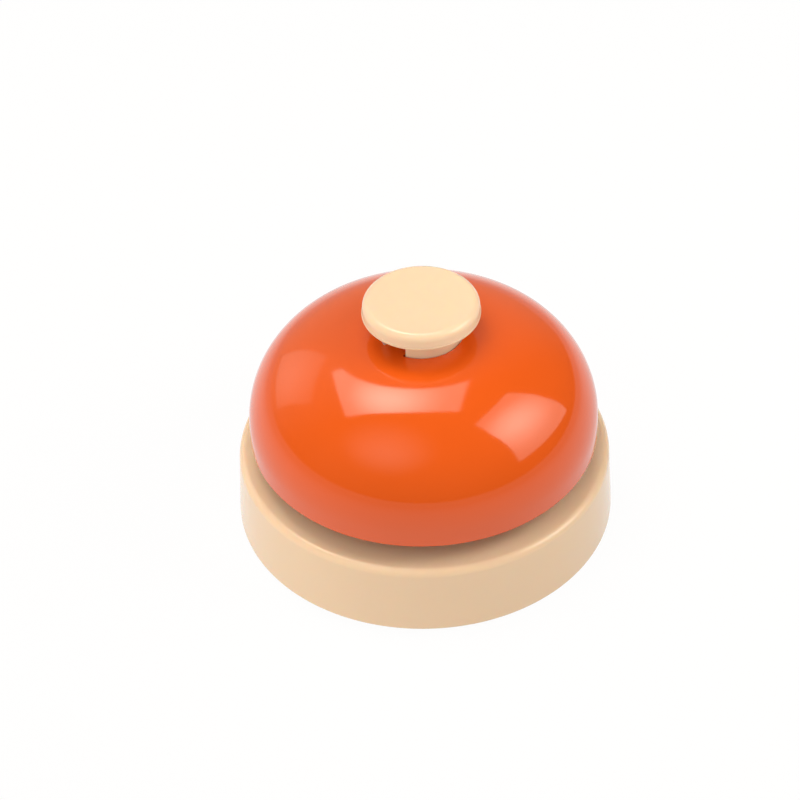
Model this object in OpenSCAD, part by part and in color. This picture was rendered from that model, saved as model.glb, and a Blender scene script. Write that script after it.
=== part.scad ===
// Press-button bell: a painted steel dome over a moulded base, rung by a sprung button and a hammer.
// Lengths are in millimetres. The bell stands on z = 0 with its axis along Z.
// The hammer swings in the XZ plane, on the +X side of the post.

/* [Base] */
// Outer diameter of the base at its bottom rim
base_d = 75; // [72:0.5:84]
// Height of the base from its rim to its deck
base_h = 14.6; // [14:0.1:30]
// How much smaller the radius is at the deck than at the rim
base_draft = 0.8; // [0:0.1:3]
// Wall thickness of the base
base_wall = 2.2; // [1.6:0.1:3.5]
// Thickness of the deck
deck_t = 2.5; // [1.6:0.1:3.5]
// Radius of the rounded edge round the deck
base_edge_r = 1.5; // [0.5:0.1:3]

/* [Bottom cover] */
// Thickness of the bottom cover
cover_t = 2; // [1.6:0.1:3]
// How far the cover sits above the base's rim
cover_recess = 0.5; // [0.2:0.1:1.5]
// Radial clearance between the cover and the base's wall
cover_gap = 0.2; // [0.1:0.05:0.5]
// Distance of the cover screws from the bell's axis
cover_screw_ring = 22; // [18:0.5:24]
// Diameter of the bosses that take the cover screws
cover_boss_d = 7; // [6:0.5:9]
// Number of cover screws
cover_screw_n = 3; // [3:1:4]

/* [Rubber feet] */
// Diameter of a rubber foot
foot_d = 10; // [6:0.5:11]
// Depth of the pockets in the cover that take the feet
foot_pocket = 0.6; // [0.3:0.1:1]
// How far the feet lift the base's rim off the table
foot_lift = 0.5; // [0.2:0.1:1]
// Gap left between a foot and the edge of the cover
foot_edge = 1.1; // [0.5:0.1:3]
// Number of rubber feet
foot_n = 4; // [3:1:4]

/* [Dome] */
// Outer diameter of the dome's lip
dome_d = 68.6; // [64:0.2:72]
// Gap between the dome's lip and the deck
dome_gap = 4.3; // [1:0.1:8]
// Thickness of the dome's sheet
dome_t = 1; // [0.6:0.1:1.6]
// Height of the straight wall above the lip
dome_straight_h = 3.4; // [1:0.1:10]
// Outer radius of the shoulder's arc
shoulder_r = 18.7; // [14:0.1:22]
// Slope of the dome where the shoulder arc meets the crown arc
shoulder_slope = 0.75; // [0.5:0.05:1]
// Diameter of the flat at the top of the dome
crown_flat_d = 18; // [17:0.5:24]

/* [Dome mounting] */
// Diameter of the post
post_d = 8; // [7:0.1:9]
// Diameter of the post's foot flange
post_flange_d = 14; // [12:0.5:16]
// Thickness of the post's foot flange
post_flange_t = 2; // [1.5:0.1:3]
// Diameter of the post's spigot in the deck
post_spigot_d = 6; // [5.6:0.1:7]
// How much shorter the spigot is than the deck is thick
spigot_short = 0.2; // [0.1:0.1:0.6]
// Outer diameter of the cushion and the stop washer under the crown
seat_d = 11; // [10:0.5:11.5]
// Thickness of the rubber cushion under the crown
cushion_t = 0.8; // [0.5:0.1:1.5]
// Thickness of the stop washer on top of the post
stop_t = 0.8; // [0.5:0.1:1.5]
// Outer diameter of the washer on top of the crown
top_washer_d = 10.5; // [9:0.5:11.5]
// Thickness of the washer on top of the crown
top_washer_t = 0.6; // [0.4:0.1:0.8]

/* [Button] */
// Diameter of the button cap at its lower rim
cap_d = 22.8; // [20:0.1:30]
// Height of the button cap
cap_h = 3.1; // [2.8:0.1:6]
// Radius of the cap's rounded upper edge
cap_edge_r = 1.5; // [0.6:0.1:2]
// How much smaller the cap's radius is at the top than at the rim
cap_draft = 0.2; // [0:0.1:1]
// Thickness of the cap's top
cap_top_t = 1.8; // [1.2:0.1:2]
// Thickness of the cap's rim
cap_rim_t = 1.6; // [1:0.1:2]
// Height of the cap's rim above the crown
cap_lift = 4.7; // [4.4:0.1:8]
// How far the button goes down
press = 3; // [2:0.1:3.2]
// Outer diameter across the button's legs
leg_d = 15.7; // [15.4:0.1:16.4]
// Thickness of a leg
leg_t = 1.2; // [0.9:0.1:1.4]
// Number of legs
leg_n = 2; // [2:1:3]
// Angle of the space between one leg and the next
leg_space = 40; // [34:1:60]
// Direction of the first leg's middle
leg_turn = -44; // [-180:1:180]
// How far a leg's hook reaches inwards
hook_reach = 0.6; // [0.4:0.1:0.8]
// Height of a leg's hook
hook_h = 1; // [0.8:0.1:2]
// Size of the bevel that leads a hook in
hook_lead = 0.3; // [0.1:0.1:0.4]

/* [Plunger] */
// Wall thickness of the plunger sleeve
sleeve_wall = 1.1; // [0.8:0.1:1.2]
// Distance from the sleeve's top to its collar
collar_drop = 2.2; // [1.5:0.1:4]
// Thickness of the collar that the legs hook under
collar_t = 2; // [1.5:0.1:3]
// Diameter of the sleeve's lower flange
flange_d = 18; // [17.4:0.2:20]
// Thickness of the sleeve's lower flange
flange_t = 1.6; // [1.2:0.1:2.5]

/* [Return spring] */
// Diameter of the spring's wire
spring_wire = 0.7; // [0.5:0.05:0.9]
// Mean diameter of the spring's coils
spring_d = 10.4; // [9.8:0.1:10.8]
// Number of coils
spring_turns = 7; // [5:0.5:8]

/* [Striker] */
// Distance of the striker's pin from the bell's axis
pivot_x = 15; // [14:0.1:17]
// Diameter of the striker's pin
pin_d = 2; // [1.6:0.1:2.5]
// Height of the pin's riveted heads
pin_head_h = 0.8; // [0.5:0.1:1.2]
// How far the pin's heads stand out round its shank
pin_head_edge = 0.8; // [0.5:0.1:1.2]
// Distance of the nose at the end of the striker's tail from the bell's axis
nose_x = 7.8; // [7.4:0.1:8]
// Diameter of the rounded nose at the end of the tail
nose_d = 2; // [1.6:0.1:2.4]
// Direction of the hammer rod when the button is down, above the horizontal
strike_angle = -12; // [-20:1:-4]
// Gap between the hammer and the dome when the button is held down
strike_gap = 0.4; // [0.3:0.1:1]
// Diameter of the hammer ball
ball_d = 6; // [5:0.2:7]
// Diameter of the hammer rod
rod_d = 2.4; // [1.6:0.1:3]
// Outer diameter of the lever's hub
hub_d = 5; // [4:0.2:6]
// Width of the lever's hub along its pin
hub_w = 5; // [4:0.2:6]
// Width of the lever's tail
tail_w = 3; // [2:0.2:4]
// Thickness of the lever's tail
tail_t = 1.6; // [1.2:0.1:2]

/* [Striker bracket] */
// Thickness of the bracket's sheet
bracket_t = 1; // [0.8:0.1:1.5]
// Width of the bracket's ears
ear_w = 6; // [5:0.2:7]
// Gap between an ear and the head of the screw beside it
bracket_screw_gap = 0.9; // [0.5:0.1:3]
// Metal left round the bracket screws
bracket_margin = 3; // [2.5:0.1:4]

/* [Fasteners] */
// Thread diameter of the two machine screws in the post
bolt_d = 4; // [3:0.5:4]
// Length of the dome's screw under its low head
bolt_l = 10; // [8:0.5:11]
// Head diameter of the dome's screw
bolt_head_d = 8; // [7:0.1:8.5]
// Head height of the dome's screw
bolt_head_h = 1.8; // [1.4:0.1:1.9]
// Length of the post's screw under its head
anchor_l = 8; // [7:0.5:11]
// Head diameter of the post's screw
anchor_head_d = 7.4; // [7:0.1:8.5]
// Head height of the post's screw
anchor_head_h = 2.6; // [2:0.1:3.2]
// Outer diameter of the washer under the deck
post_washer_d = 12; // [10:0.5:14]
// Thickness of the washer under the deck
post_washer_t = 1; // [0.6:0.1:1.6]
// Thread diameter of the self-tapping screws
tapper_d = 2.8; // [2.4:0.1:3]
// Length of the self-tapping screws
tapper_l = 8; // [6:0.5:9]
// Head diameter of the self-tapping screws
tapper_head_d = 5; // [4.6:0.1:5.4]
// Head height of the bracket screws
tapper_head_h = 1.6; // [1.2:0.1:2]
// Depth left under the tip of a self-tapping screw
tapper_spare = 1; // [0.5:0.1:1.5]
// Wall left round the hole of a bracket screw
tapper_wall = 1.5; // [1:0.1:2]

/* [Clearances] */
// Radial clearance between the sleeve and the post
slide_gap = 0.08; // [0.04:0.01:0.1]
// Clearance round each leg in its slot in the crown
leg_gap = 0.32; // [0.3:0.02:0.6]
// Radial clearance between the legs and the sleeve's collar
snap_gap = 0.1; // [0.05:0.05:0.2]
// Radial clearance round threads and spigots
thread_gap = 0.05; // [0.02:0.01:0.1]
// Radial clearance between the lever and its pin
pin_gap = 0.05; // [0.03:0.01:0.1]
// Radial clearance between the pin and the ears
pin_fit = 0.02; // [0.01:0.01:0.05]
// Clearance on each side of the hub between the ears
hub_gap = 0.3; // [0.3:0.05:0.5]
// Gap between the tail's nose and the flange
tail_gap = 0.1; // [0.05:0.05:0.3]
// Radial clearance round a screw in the parts it goes through
bolt_gap = 0.25; // [0.15:0.05:0.4]

/* [Hidden] */
$fn = 96;
eps = 0.01;
past = 1;

// Levels of the base
rim_z = foot_lift;
deck_z = rim_z + base_h;
ceiling_z = deck_z - deck_t;
cover_z = rim_z + cover_recess;
cover_top_z = cover_z + cover_t;
base_r = base_d / 2;
base_top_r = base_r - base_draft;
base_edge_z = deck_z - base_edge_r;
base_lean = base_draft / (base_edge_z - rim_z);
cover_r = base_r - base_lean * (cover_top_z - rim_z) - base_wall - cover_gap;
foot_t = cover_z + foot_pocket;
foot_ring = cover_r - foot_edge - foot_d / 2;
tapper_hole_r = tapper_d / 2 + thread_gap;
tapper_clear_r = tapper_d / 2 + bolt_gap;
tapper_deep = tapper_l + tapper_spare;

// Levels of the dome
dome_r = dome_d / 2;
lip_z = deck_z + dome_gap;
shoulder_z = lip_z + dome_straight_h;
crown_flat_r = crown_flat_d / 2;
arc_ratio = sqrt(1 + shoulder_slope * shoulder_slope);
arc_cos = shoulder_slope / arc_ratio;
arc_sin = 1 / arc_ratio;
crown_r = (dome_r - crown_flat_r - shoulder_r * (1 - arc_cos)) / arc_cos;
crown_z = shoulder_z + shoulder_r * arc_sin + crown_r * (1 - arc_sin);
crown_in_z = crown_z - dome_t;
shoulder_c = [dome_r - shoulder_r, shoulder_z];
crown_c = [crown_flat_r, crown_z - crown_r];

// Levels of the post and the parts on it
post_r = post_d / 2;
cushion_z = crown_in_z - cushion_t;
post_top_z = cushion_z - stop_t;
post_flange_z = deck_z + post_flange_t;
spigot_z = ceiling_z + spigot_short;
bolt_r = bolt_d / 2;
bolt_hole_r = bolt_r + thread_gap;
bolt_clear_r = bolt_r + bolt_gap;
dome_screw_z = crown_z + top_washer_t;
post_screw_z = ceiling_z - post_washer_t;

// Levels of the button and the plunger
cap_r = cap_d / 2;
cap_top_r = cap_r - cap_draft;
cap_z = crown_z + cap_lift;
cap_top_z = cap_z + cap_h;
cap_under_z = cap_top_z - cap_top_t;
leg_r = leg_d / 2;
leg_in_r = leg_r - leg_t;
leg_angle = 360 / leg_n - leg_space;
hook_r = leg_in_r - hook_reach;
slot_r = leg_r + leg_gap;
slot_in_r = leg_in_r - leg_gap;
slot_angle = leg_angle + 2 * asin(leg_gap / leg_in_r);
sleeve_in_r = post_r + slide_gap;
sleeve_r = sleeve_in_r + sleeve_wall;
collar_z = post_top_z - collar_drop - collar_t;
collar_r = leg_in_r - snap_gap;
leg_z = collar_z - hook_h;
flange_z = leg_z - flange_t;
flange_r = flange_d / 2;

// Spring, from the post's flange to the sleeve's flange
wire_r = spring_wire / 2;
coil_sides = 6;
coil_steps = 10;
coil_n = round(spring_turns * coil_steps);
coil_flat = 0.4;
coil_low_z = post_flange_z + wire_r * cos(30);
coil_high_z = flange_z - wire_r * cos(30);
coil_pitch = (coil_high_z - coil_low_z) / (spring_turns - 2 * coil_flat);

// Striker, held by the sleeve's flange at rest and swung by it through the press
nose_r = nose_d / 2;
tail_arm = pivot_x - nose_x;
tail_rise = asin(press / 2 / tail_arm);
swing = 2 * tail_rise;
pivot_z = flange_z - tail_gap - nose_r - press / 2;
ball_r = ball_d / 2;
strike_reach = shoulder_r - dome_t - ball_r - strike_gap;
pivot_off = [pivot_x - shoulder_c[0], pivot_z - shoulder_c[1]];
strike_b = pivot_off[0] * cos(strike_angle) + pivot_off[1] * sin(strike_angle);
strike_c = pivot_off[0] * pivot_off[0] + pivot_off[1] * pivot_off[1] - strike_reach * strike_reach;
hammer_arm = sqrt(strike_b * strike_b - strike_c) - strike_b;
rest_angle = strike_angle - swing;
rod_end = hammer_arm + ball_r / 4;
hub_r = hub_d / 2;
pin_r = pin_d / 2;
pin_head_r = pin_r + pin_head_edge;
ear_y = hub_w / 2 + hub_gap;
ear_out_y = ear_y + bracket_t;
bracket_screw_y = ear_out_y + tapper_head_d / 2 + bracket_screw_gap;
bracket_top_z = deck_z + bracket_t;
bracket_boss_z = bracket_top_z - tapper_deep - tapper_wall;

// Height of the spring's wire after t coils, flat at both ends
function coil_z(t) = coil_low_z
    + coil_pitch * (min(max(t, coil_flat), spring_turns - coil_flat) - coil_flat);

// Middle of the wire and one corner of its section, at step i
function coil_mid(i) = [spring_d / 2 * cos(360 * i / coil_steps), spring_d / 2 * sin(360 * i / coil_steps),
    coil_z(i / coil_steps)];
function coil_corner(i, k) = coil_mid(i) + wire_r * cos(60 * k)
    * [cos(360 * i / coil_steps), sin(360 * i / coil_steps), 0] + [0, 0, wire_r * sin(60 * k)];

// Least gap between the wire and itself, from the points at least half a coil apart
coil_gaps = [for (i = [0:coil_n]) for (j = [i + coil_steps / 2:coil_n]) norm(coil_mid(i) - coil_mid(j))];
echo(least_coil_gap = min(coil_gaps) - spring_wire);

// Triangle of the plane seen from a point between two directions
module wedge(at, from, to, reach) {
    polygon([at, at + reach * from, at + reach * to]);
}

// Half section of everything under the dome's face, moved in by inset
module dome_section(inset, low) {
    high = crown_z - inset;
    intersection() {
        translate([0, low]) square([dome_r - inset, high - low]);
        union() {
            translate([0, low]) square([dome_r - inset, shoulder_z - low]);
            translate([0, low]) square([crown_flat_r, high - low]);
            intersection() {
                translate(shoulder_c) circle(r = shoulder_r - inset);
                wedge(shoulder_c, [1, 0], [arc_cos, arc_sin], 2 * shoulder_r);
            }
            intersection() {
                translate(crown_c) circle(r = crown_r - inset);
                wedge(crown_c, [arc_cos, arc_sin], [0, 1], 2 * crown_r);
            }
        }
    }
}

// Flat ring or washer standing on z
module ring(z, outer_r, inner_r, t) {
    translate([0, 0, z])
        difference() {
            cylinder(r = outer_r, h = t);
            translate([0, 0, -past]) cylinder(r = inner_r, h = t + 2 * past);
        }
}

// Cross recess cut down from the origin
module cross_recess(size, deep) {
    for (a = [0, 90])
        rotate([0, 0, a])
            translate([-size / 2, -size / 8, -deep])
                cube([size, size / 4, deep + past]);
}

// Screw with a low round head standing on the origin and its shank pointing down
module pan_screw(d, l, head_d, head_h) {
    edge = head_h / 4;
    tip = d / 8;
    difference() {
        rotate_extrude()
            polygon([[0, -l], [d / 2 - tip, -l], [d / 2, tip - l], [d / 2, 0], [head_d / 2, 0],
                [head_d / 2, head_h - edge], [head_d / 2 - edge, head_h], [0, head_h]]);
        translate([0, 0, head_h]) cross_recess(head_d * 0.55, head_h * 0.6);
    }
}

// Countersunk screw with the top of its head at the origin and its shank pointing down
module flat_screw(d, l, head_d) {
    tip = d / 8;
    difference() {
        rotate_extrude()
            polygon([[0, -l], [d / 2 - tip, -l], [d / 2, tip - l], [d / 2, d / 2 - head_d / 2],
                [head_d / 2, 0], [0, 0]]);
        cross_recess(head_d * 0.55, (head_d - d) / 2);
    }
}

// Repeats its children at the cover screws
module at_cover_screws() {
    for (i = [0:cover_screw_n - 1])
        rotate([0, 0, 60 + i * 360 / cover_screw_n])
            translate([cover_screw_ring, 0, 0])
                children();
}

// Repeats its children at the rubber feet
module at_feet() {
    for (i = [0:foot_n - 1])
        rotate([0, 0, 45 + i * 360 / foot_n])
            translate([foot_ring, 0, 0])
                children();
}

// Repeats its children at the bracket screws
module at_bracket_screws() {
    for (s = [-1, 1])
        translate([pivot_x, s * bracket_screw_y, 0])
            children();
}

// Moulded base: a drafted cup upside down, with bosses for the screws
module base_housing() {
    color("#EBD3AE")
        difference() {
            union() {
                rotate_extrude()
                    difference() {
                        union() {
                            polygon([[0, rim_z], [base_r, rim_z], [base_top_r, base_edge_z],
                                [base_top_r - base_edge_r, base_edge_z], [base_top_r - base_edge_r, deck_z],
                                [0, deck_z]]);
                            intersection() {
                                translate([base_top_r - base_edge_r, base_edge_z]) circle(r = base_edge_r);
                                translate([base_top_r - base_edge_r, base_edge_z])
                                    square([base_edge_r, base_edge_r]);
                            }
                        }
                        polygon([[-past, rim_z - past], [base_r + base_lean * past - base_wall, rim_z - past],
                            [base_r - base_lean * (ceiling_z - rim_z) - base_wall, ceiling_z],
                            [-past, ceiling_z]]);
                    }
                at_cover_screws()
                    translate([0, 0, cover_top_z])
                        cylinder(d = cover_boss_d, h = ceiling_z + eps - cover_top_z);
                at_bracket_screws()
                    translate([0, 0, bracket_boss_z])
                        cylinder(r = tapper_hole_r + tapper_wall, h = ceiling_z + eps - bracket_boss_z);
            }
            at_cover_screws()
                translate([0, 0, cover_top_z - past])
                    cylinder(r = tapper_hole_r, h = cover_z + tapper_deep - cover_top_z + past);
            at_bracket_screws()
                translate([0, 0, bracket_top_z - tapper_deep])
                    cylinder(r = tapper_hole_r, h = tapper_deep + past);
            translate([0, 0, ceiling_z - past])
                cylinder(r = post_spigot_d / 2 + thread_gap, h = deck_t + 2 * past);
        }
}

// Plate that closes the base from below, with countersinks for its screws and pockets for the feet
module bottom_cover() {
    color("#E3C79F")
        difference() {
            translate([0, 0, cover_z]) cylinder(r = cover_r, h = cover_t);
            at_cover_screws() {
                translate([0, 0, cover_z - past]) cylinder(r = tapper_clear_r, h = cover_t + 2 * past);
                translate([0, 0, cover_z])
                    cylinder(r1 = tapper_head_d / 2, r2 = tapper_d / 2, h = (tapper_head_d - tapper_d) / 2);
            }
            at_feet()
                translate([0, 0, cover_z - past]) cylinder(d = foot_d, h = foot_pocket + past);
        }
}

// Screws that hold the cover, heads flush with its underside
module cover_screws() {
    color("#B9BCC0")
        at_cover_screws()
            translate([0, 0, cover_z])
                rotate([180, 0, 0])
                    flat_screw(tapper_d, tapper_l, tapper_head_d);
}

// Rubber feet stuck in the cover's pockets
module rubber_feet() {
    edge = foot_lift / 2;
    color("#2A2A2A")
        at_feet()
            rotate_extrude()
                polygon([[0, 0], [foot_d / 2 - edge, 0], [foot_d / 2, edge], [foot_d / 2, foot_t],
                    [0, foot_t]]);
}

// Turned post: spigot in the deck, foot flange, and a threaded hole at each end
module post() {
    color("#C6C9CC")
        difference() {
            rotate_extrude()
                polygon([[0, spigot_z], [post_spigot_d / 2, spigot_z], [post_spigot_d / 2, deck_z],
                    [post_flange_d / 2, deck_z], [post_flange_d / 2, post_flange_z], [post_r, post_flange_z],
                    [post_r, post_top_z], [0, post_top_z]]);
            translate([0, 0, spigot_z - past]) cylinder(r = bolt_hole_r, h = anchor_l + past);
            translate([0, 0, post_top_z - bolt_l]) cylinder(r = bolt_hole_r, h = bolt_l + past);
        }
}

// Screw that draws the post down on the deck from below
module post_screw() {
    color("#B9BCC0")
        translate([0, 0, post_screw_z])
            rotate([180, 0, 0])
                pan_screw(bolt_d, anchor_l, anchor_head_d, anchor_head_h);
}

// Washer between the post's screw and the deck
module post_washer() {
    color("#C6C9CC") ring(post_screw_z, post_washer_d / 2, bolt_clear_r, post_washer_t);
}

// Steel washer on the post that stops the plunger at the top of its stroke
module stop_washer() {
    color("#C6C9CC") ring(post_top_z, seat_d / 2, bolt_clear_r, stop_t);
}

// Rubber washer that lets the dome ring freely
module dome_cushion() {
    color("#2A2A2A") ring(cushion_z, seat_d / 2, bolt_clear_r, cushion_t);
}

// Pressed steel dome with a rounded lip, a centre hole and a slot for each leg
module bell_dome() {
    half = dome_t / 2;
    color("#F0611F")
        difference() {
            rotate_extrude()
                union() {
                    difference() {
                        dome_section(0, lip_z + half);
                        dome_section(dome_t, lip_z + half - past);
                    }
                    intersection() {
                        translate([dome_r - half, lip_z + half]) circle(r = half);
                        translate([dome_r - dome_t, lip_z]) square([dome_t, half]);
                    }
                }
            translate([0, 0, crown_in_z - past]) cylinder(r = bolt_clear_r, h = dome_t + 2 * past);
            for (i = [0:leg_n - 1])
                rotate([0, 0, leg_turn + i * 360 / leg_n - slot_angle / 2])
                    rotate_extrude(angle = slot_angle)
                        translate([slot_in_r, crown_in_z - past])
                            square([slot_r - slot_in_r, dome_t + 2 * past]);
        }
}

// Washer between the dome's screw and the crown
module dome_washer() {
    color("#E8E4DA") ring(crown_z, top_washer_d / 2, bolt_clear_r, top_washer_t);
}

// Screw that holds the dome on the post, hidden under the button
module dome_screw() {
    color("#B9BCC0")
        translate([0, 0, dome_screw_z])
            pan_screw(bolt_d, bolt_l, bolt_head_d, bolt_head_h);
}

// Push button: a mushroom cap on legs that go through the crown and hook under the plunger's collar
module button_cap() {
    edge_x = cap_top_r - cap_edge_r;
    edge_z = cap_top_z - cap_edge_r;
    color("#F6DFBB")
        union() {
            rotate_extrude()
                difference() {
                    union() {
                        polygon([[0, cap_z], [cap_r, cap_z], [cap_top_r, edge_z], [edge_x, edge_z],
                            [edge_x, cap_top_z], [0, cap_top_z]]);
                        intersection() {
                            translate([edge_x, edge_z]) circle(r = cap_edge_r);
                            translate([edge_x, edge_z]) square([cap_edge_r, cap_edge_r]);
                        }
                    }
                    translate([-past, cap_z - past])
                        square([cap_r - cap_rim_t + past, cap_under_z - cap_z + past]);
                }
            for (i = [0:leg_n - 1])
                rotate([0, 0, leg_turn + i * 360 / leg_n - leg_angle / 2])
                    rotate_extrude(angle = leg_angle)
                        polygon([[leg_r, leg_z], [leg_r, cap_under_z + eps], [leg_in_r, cap_under_z + eps],
                            [leg_in_r, collar_z], [hook_r, collar_z], [hook_r, leg_z + hook_lead],
                            [hook_r + hook_lead, leg_z]]);
        }
}

// Plunger that slides on the post: a collar for the legs' hooks and a flange for spring and striker
module plunger_sleeve() {
    color("#EDEBE4")
        rotate_extrude()
            polygon([[sleeve_in_r, flange_z], [flange_r, flange_z], [flange_r, leg_z], [sleeve_r, leg_z],
                [sleeve_r, collar_z], [collar_r, collar_z], [collar_r, collar_z + collar_t],
                [sleeve_r, collar_z + collar_t], [sleeve_r, post_top_z], [sleeve_in_r, post_top_z]]);
}

// Compression spring round the post
module return_spring() {
    last = coil_n * coil_sides;
    color("#A9ADB2")
        polyhedron(
            points = [for (i = [0:coil_n]) for (k = [0:coil_sides - 1]) coil_corner(i, k)],
            faces = concat(
                [for (i = [0:coil_n - 1]) for (k = [0:coil_sides - 1]) let (n = (k + 1) % coil_sides)
                    [i * coil_sides + k, i * coil_sides + coil_sides + k, i * coil_sides + n]],
                [for (i = [0:coil_n - 1]) for (k = [0:coil_sides - 1]) let (n = (k + 1) % coil_sides)
                    [i * coil_sides + coil_sides + k, i * coil_sides + coil_sides + n, i * coil_sides + n]],
                [for (k = [1:coil_sides - 2]) [0, k, k + 1]],
                [for (k = [1:coil_sides - 2]) [last, last + k + 1, last + k]]));
}

// Folded steel bracket: a foot plate on the deck and two ears that carry the striker's pin
module striker_bracket() {
    plate_y = bracket_screw_y + bracket_margin;
    color("#C0C4C8")
        difference() {
            union() {
                translate([pivot_x - ear_w / 2, -plate_y, deck_z]) cube([ear_w, 2 * plate_y, bracket_t]);
                for (y = [-ear_out_y, ear_y]) {
                    translate([pivot_x - ear_w / 2, y, deck_z]) cube([ear_w, bracket_t, pivot_z - deck_z]);
                    translate([pivot_x, y, pivot_z])
                        rotate([-90, 0, 0])
                            cylinder(d = ear_w, h = bracket_t);
                }
            }
            translate([pivot_x, -ear_out_y - past, pivot_z])
                rotate([-90, 0, 0])
                    cylinder(r = pin_r + pin_fit, h = 2 * (ear_out_y + past));
            at_bracket_screws()
                translate([0, 0, deck_z - past]) cylinder(r = tapper_clear_r, h = bracket_t + 2 * past);
        }
}

// Screws that hold the bracket on the deck
module bracket_screws() {
    color("#B9BCC0")
        at_bracket_screws()
            translate([0, 0, bracket_top_z])
                pan_screw(tapper_d, tapper_l, tapper_head_d, tapper_head_h);
}

// Rivet through the ears that the lever turns on
module striker_pin() {
    end_y = ear_out_y + pin_head_h;
    color("#B9BCC0")
        translate([pivot_x, 0, pivot_z])
            rotate([-90, 0, 0])
                rotate_extrude()
                    polygon([[0, -end_y], [pin_head_r, -end_y], [pin_head_r, -ear_out_y], [pin_r, -ear_out_y],
                        [pin_r, ear_out_y], [pin_head_r, ear_out_y], [pin_head_r, end_y], [0, end_y]]);
}

// Lever with a tail under the plunger's flange and a rod for the hammer
module striker_lever() {
    color("#9EA3A8")
        translate([pivot_x, 0, pivot_z])
            difference() {
                union() {
                    translate([0, -hub_w / 2, 0]) rotate([-90, 0, 0]) cylinder(r = hub_r, h = hub_w);
                    rotate([0, tail_rise - 180, 0]) {
                        translate([0, -tail_w / 2, -tail_t / 2]) cube([tail_arm, tail_w, tail_t]);
                        translate([tail_arm, -tail_w / 2, 0])
                            rotate([-90, 0, 0])
                                cylinder(r = nose_r, h = tail_w);
                    }
                    rotate([0, 90 - rest_angle, 0]) cylinder(d = rod_d, h = rod_end);
                }
                translate([0, -hub_w, 0])
                    rotate([-90, 0, 0])
                        cylinder(r = pin_r + pin_gap, h = 2 * hub_w);
            }
}

// Hammer ball pressed on the end of the lever's rod
module hammer_ball() {
    color("#C9A24B")
        translate([pivot_x, 0, pivot_z])
            rotate([0, 90 - rest_angle, 0])
                difference() {
                    translate([0, 0, hammer_arm]) sphere(r = ball_r);
                    translate([0, 0, hammer_arm - 2 * ball_r])
                        cylinder(d = rod_d, h = rod_end - hammer_arm + 2 * ball_r);
                }
}

base_housing();
bottom_cover();
cover_screws();
rubber_feet();
post();
post_screw();
post_washer();
stop_washer();
dome_cushion();
bell_dome();
dome_washer();
dome_screw();
button_cap();
plunger_sleeve();
return_spring();
striker_bracket();
bracket_screws();
striker_pin();
striker_lever();
hammer_ball();
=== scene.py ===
"""Pet training bell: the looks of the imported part, modelled and dressed round its CAD frame."""

import math

import bpy
from mathutils import Matrix, Vector


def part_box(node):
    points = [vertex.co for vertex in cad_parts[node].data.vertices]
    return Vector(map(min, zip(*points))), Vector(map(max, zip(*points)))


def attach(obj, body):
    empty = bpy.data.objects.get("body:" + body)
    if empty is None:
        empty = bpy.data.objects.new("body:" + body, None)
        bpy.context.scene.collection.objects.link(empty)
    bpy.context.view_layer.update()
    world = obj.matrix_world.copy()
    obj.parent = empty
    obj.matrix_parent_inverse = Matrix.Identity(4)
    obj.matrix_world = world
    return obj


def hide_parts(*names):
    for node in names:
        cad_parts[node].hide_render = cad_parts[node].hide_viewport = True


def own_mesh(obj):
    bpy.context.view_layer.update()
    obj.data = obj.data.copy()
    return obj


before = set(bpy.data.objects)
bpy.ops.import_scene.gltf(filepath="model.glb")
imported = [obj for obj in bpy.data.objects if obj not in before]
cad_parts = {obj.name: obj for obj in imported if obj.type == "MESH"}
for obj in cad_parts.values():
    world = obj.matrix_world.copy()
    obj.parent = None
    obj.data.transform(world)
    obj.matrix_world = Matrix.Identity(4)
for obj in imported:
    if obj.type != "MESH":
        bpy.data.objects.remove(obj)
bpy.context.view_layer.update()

bl_info = {
    "name": "Pet Training Bell",
    "version": (1, 0, 0),
    "blender": (4, 5, 0),
    "location": "View3D > Sidebar > Bell",
    "description": "Models a pet training bell piece by piece and sets its studio",
    "category": "Add Mesh",
}

MM = 0.001
ROUND = 192                     # facets round a turned piece
ROUND_SMALL = 96                # facets round a foot, its pocket and the cushion
LEG_FACETS = 84                 # facets along a leg's arc and its slot's
TOOL_FACETS = 64                # facets round a screw's boss or hole
TINY = 2e-7                     # merging distance for spun seams and poles, in metres
FLAT = 0.2                      # faces that meet at less than this, in degrees, are one flat face
SHARP = 32                      # edges that turn by more than this, in degrees, stay sharp
OVERLAP = 0.5 * MM              # how far a boss or leg reaches into what it is fused to
HOLE_ROUND = 0.15 * MM          # round at the edge of a moulded hole
COVER_SCREWS = (3, 60)          # the cover's screws: their count, and the first one's direction in degrees
FEET = (4, 45)                  # the rubber feet, likewise
LAMP = "#FFF6E8"                # colour of the lamps, and of the room in their light
WHITE = (1, 1, 1, 1)            # what the camera sees of floor and room
BACK_WALL = (-0.36, 0.90, 0.25)         # direction of the pale wall that the gloss mirrors
FRONT_LEFT = (-0.60, -0.62, 0.27)       # direction that most of the fill comes from
SENSOR, FOCAL = 36, 114.156     # the camera's sensor width and focal length, in mm
SHIFT = (-0.02954, 0.01983)     # shift of its frame, as shares of the sensor
TILT, ROLL = 41.654, -1.321     # degrees that it looks down, and that it turns about its own axis
AIM, AWAY = (0, 0, 0.022), 0.5  # the point it looks at and how far it stands from it, in metres
BASE_LOW, BASE_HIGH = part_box("base_housing")
COVER_LOW, COVER_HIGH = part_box("bottom_cover")
DOME_LOW, DOME_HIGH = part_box("bell_dome")
CAP_LOW, CAP_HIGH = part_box("button_cap")
SPRING_LOW, SPRING_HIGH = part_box("return_spring")
CUSHION_LOW, CUSHION_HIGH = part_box("dome_cushion")
FEET_LOW, FEET_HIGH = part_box("rubber_feet")


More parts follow.
